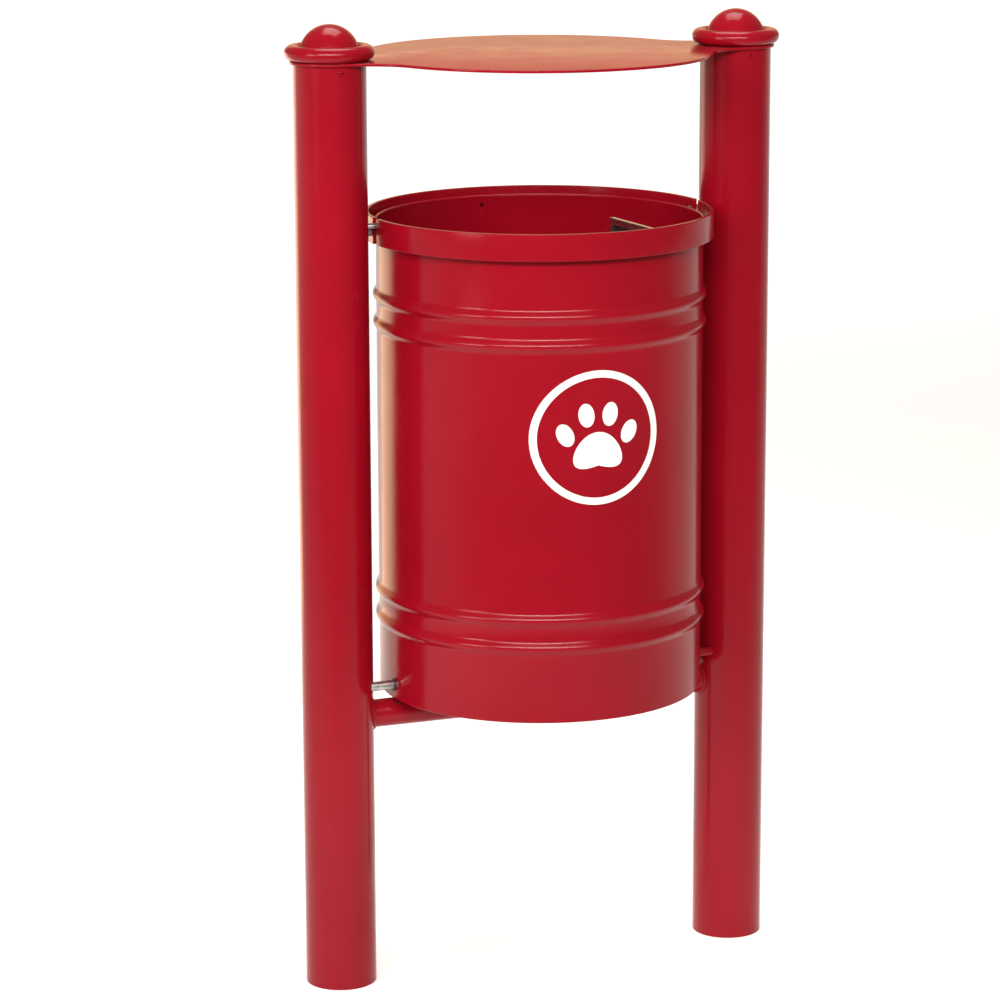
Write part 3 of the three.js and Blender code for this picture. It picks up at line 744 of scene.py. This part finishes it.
# ------------------------------------------------------------------ decal
# Cut white vinyl film rubbed down on the front of the drum: a ring round a plain paw print of one pad
# and four toes.

VINYL_THICKNESS = 0.0003
VINYL_LIFT = 0.00035
RING_OUTER = 0.0705
RING_INNER = 0.063
RING_STEPS = 128
DECAL_X = -0.004
DECAL_Z = 0.616


def vinyl(name):
    """White film with a faint grain, thumbed and a little grey in places."""
    material, tree, shader, place = new_material(name)
    grime = spread(tree, noise(tree, place, 45.0, 5.0, 0.65), 0.45, 0.75, 0.0, 0.35)
    colour = blend_colours(tree, grime, (0.88, 0.88, 0.87, 1.0), (0.72, 0.70, 0.68, 1.0))
    tree.links.new(colour, shader.inputs["Base Color"])
    satin = spread(tree, noise(tree, place, 80.0, 4.0), 0.3, 0.7, 0.32, 0.48)
    tree.links.new(satin, shader.inputs["Roughness"])
    add_bump(tree, shader, noise(tree, place, 900.0, 2.0), 0.05, 0.0002)
    return material


white_vinyl = vinyl("white_vinyl_film")


def rubbed_down(name, node, flat):
    """Wraps a flat cut-out on the drum's front and gives it the film's thickness."""
    outer = DRUM_RADIUS + VINYL_LIFT
    for vertex in flat.verts:
        x, up = DECAL_X + vertex.co.x, vertex.co.y
        vertex.co = (hang_x + x, -math.sqrt(outer**2 - x**2), DECAL_Z + up)
    bmesh.ops.recalc_face_normals(flat, faces=flat.faces)
    if sum(face.normal.y for face in flat.faces) > 0:
        bmesh.ops.reverse_faces(flat, faces=flat.faces)
    bmesh.ops.solidify(flat, geom=flat.faces[:], thickness=-VINYL_THICKNESS)
    piece = finished(name, flat, white_vinyl, 40.0)
    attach(piece, "drum")
    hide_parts(node)


def filled(points, rings):
    """A flat shape inset again and again, so that it can follow the drum's curve."""
    flat = bmesh.new()
    centre_x = sum(x for x, _ in points) / len(points)
    centre_y = sum(y for _, y in points) / len(points)
    loop = outline(flat, [(x, y, 0.0) for x, y in points], True)
    for step in range(rings):
        edges = [part for part in loop if isinstance(part, bmesh.types.BMEdge)]
        loop = bmesh.ops.extrude_edge_only(flat, edges=edges)["geom"]
        inner = [v for v in loop if isinstance(v, bmesh.types.BMVert)]
        shrink = (rings - step - 1) / (rings - step) if step < rings - 1 else 0.0
        for vertex in inner:
            vertex.co.x = centre_x + (vertex.co.x - centre_x) * shrink
            vertex.co.y = centre_y + (vertex.co.y - centre_y) * shrink
    bmesh.ops.remove_doubles(flat, verts=flat.verts, dist=1e-6)
    return flat


ring_section = [(RING_INNER, 0.0), ((RING_INNER + RING_OUTER) / 2, 0.0), (RING_OUTER, 0.0)]
rubbed_down("vinyl_ring", "decal_ring", turned(ring_section, RING_STEPS, closed=False))


def bezier(start, first, second, end, steps):
    """Points of a smooth curve steered by two handles, without its last one."""
    points = []
    for i in range(steps):
        t = i / steps
        weights = ((1 - t) ** 3, 3 * t * (1 - t) ** 2, 3 * t**2 * (1 - t), t**3)
        knots = (start, first, second, end)
        points.append(tuple(sum(w * knot[axis] for w, knot in zip(weights, knots)) for axis in (0, 1)))
    return points


pad_points = [
    *bezier((0, 0.006), (0.016, 0.006), (0.027, -0.012), (0.027, -0.022), 14),
    *bezier((0.027, -0.022), (0.027, -0.036), (0.010, -0.032), (0, -0.029), 14),
    *bezier((0, -0.029), (-0.010, -0.032), (-0.027, -0.036), (-0.027, -0.022), 14),
    *bezier((-0.027, -0.022), (-0.027, -0.012), (-0.016, 0.006), (0, 0.006), 14),
]
rubbed_down("vinyl_paw_pad", "decal_paw_pad", filled(pad_points, 8))

TOE_WIDTH = 0.0085
TOE_LENGTH = 0.0125
TOE_STEPS = 40
toes = [(-0.035, 0.004, 0.45), (-0.013, 0.024, 0.15), (0.013, 0.024, -0.15), (0.035, 0.004, -0.45)]
for number, (toe_x, toe_up, lean) in enumerate(toes, start=1):
    toe_points = []
    for i in range(TOE_STEPS):
        a = 2 * math.pi * i / TOE_STEPS
        across, along = TOE_WIDTH * math.cos(a), TOE_LENGTH * math.sin(a)
        leant_x = toe_x + across * math.cos(lean) - along * math.sin(lean)
        leant_y = toe_up + across * math.sin(lean) + along * math.cos(lean)
        toe_points.append((leant_x, leant_y))
    rubbed_down(f"vinyl_toe_{number}", f"decal_toe_{number}", filled(toe_points, 5))

# ------------------------------------------------------------------ floor, lights and camera
# A pale studio floor that glows a little, less in front of the bin, a wide bank above the front, a key
# on the left, a top light, two warm panels behind, and a long lens looking down from the front left.

FLOOR_SIZE = 60.0
FAR_GLOW = 0.95
NEAR_GLOW = 0.40
FLOOR_PALE = (0.83, 0.83, 0.83, 1.0)
FLOOR_GREY = (0.80, 0.80, 0.80, 1.0)
ROOM_TINT = (1.0, 0.86, 0.70, 1.0)
ROOM_STRENGTH = 0.30

floor_shape = bmesh.new()
bmesh.ops.create_grid(floor_shape, x_segments=1, y_segments=1, size=FLOOR_SIZE / 2)
floor_material, floor_tree, floor_shader, floor_place = new_material("studio_floor")
floor_tone = spread(floor_tree, noise(floor_tree, floor_place, 0.6, 2.0), 0.3, 0.7, 0.0, 1.0)
floor_colour = blend_colours(floor_tree, floor_tone, FLOOR_GREY, FLOOR_PALE)
floor_tree.links.new(floor_colour, floor_shader.inputs["Base Color"])
floor_shader.inputs["Roughness"].default_value = 0.9
floor_shader.inputs["Specular IOR Level"].default_value = 0.1
floor_shader.inputs["Emission Color"].default_value = (1.0, 1.0, 1.0, 1.0)
floor_axes = floor_tree.nodes.new("ShaderNodeSeparateXYZ")
floor_tree.links.new(floor_place, floor_axes.inputs[0])
glow_behind = spread(floor_tree, floor_axes.outputs["Y"], 0.3, 5.0, NEAR_GLOW, FAR_GLOW)
glow_in_front = spread(floor_tree, floor_axes.outputs["Y"], -1.2, -0.3, 0.0, 1.0)
floor_glow = multiply(floor_tree, glow_behind, glow_in_front)
floor_tree.links.new(floor_glow, floor_shader.inputs["Emission Strength"])
finished("studio_floor", floor_shape, floor_material)

world = bpy.data.worlds.new("studio")
world.use_nodes = True
world.node_tree.nodes["Background"].inputs["Color"].default_value = ROOM_TINT
world.node_tree.nodes["Background"].inputs["Strength"].default_value = ROOM_STRENGTH
bpy.context.scene.world = world
bpy.context.scene.view_settings.view_transform = "Standard"


def softbox(name, place, aim, width, height, power, tint, beam=180.0):
    """A rectangular area light at one point that faces another, with its beam in degrees."""
    lamp = bpy.data.lights.new(name, "AREA")
    lamp.shape = "RECTANGLE"
    lamp.size = width
    lamp.size_y = height
    lamp.energy = power
    lamp.color = tint
    lamp.spread = math.radians(beam)
    light = bpy.data.objects.new(name, lamp)
    light.location = place
    light.rotation_euler = (Vector(aim) - Vector(place)).to_track_quat("-Z", "Y").to_euler()
    bpy.context.scene.collection.objects.link(light)


WHITE = (1.0, 0.97, 0.93)
AMBER = (1.0, 0.54, 0.24)
softbox(
    "front_bank", (-0.75, -1.95, 1.80), (0.0, 0.0, 0.62),
    width=2.6, height=0.42, power=26.0, tint=WHITE, beam=100.0
)
softbox(
    "left_key", (-3.1, -1.3, 1.5), (0.0, 0.0, 0.6),
    width=1.0, height=1.2, power=7.0, tint=WHITE, beam=80.0
)
softbox(
    "top", (0.2, 0.5, 3.2), (0.0, 0.2, 0.6),
    width=1.6, height=1.6, power=20.0, tint=WHITE, beam=110.0
)
softbox(
    "rim_left", (-0.66, 1.58, 0.46), (0.0, 0.0, 0.46),
    width=0.75, height=1.0, power=7.0, tint=AMBER
)
softbox(
    "back_wall", (1.07, 2.80, 1.78), (0.0, 0.0, 1.78),
    width=3.2, height=1.6, power=13.0, tint=AMBER
)

CAMERA_PLACE = (-1.4328, -3.6247, 1.3922)
CAMERA_YAW = 20.98
CAMERA_PITCH = 12.70
CAMERA_ROLL = -0.19
CAMERA_LENS = 133.4

camera_data = bpy.data.cameras.new("camera")
camera_data.sensor_width = 36.0
camera_data.lens = CAMERA_LENS
camera_data.clip_end = 200.0
camera = bpy.data.objects.new("camera", camera_data)
camera.location = CAMERA_PLACE
yaw_turn = Matrix.Rotation(math.radians(-CAMERA_YAW), 4, "Z")
pitch_turn = Matrix.Rotation(math.radians(90.0 - CAMERA_PITCH), 4, "X")
roll_turn = Matrix.Rotation(math.radians(CAMERA_ROLL), 4, "Z")
camera.rotation_euler = (yaw_turn @ pitch_turn @ roll_turn).to_euler()
bpy.context.scene.collection.objects.link(camera)
bpy.context.scene.camera = camera
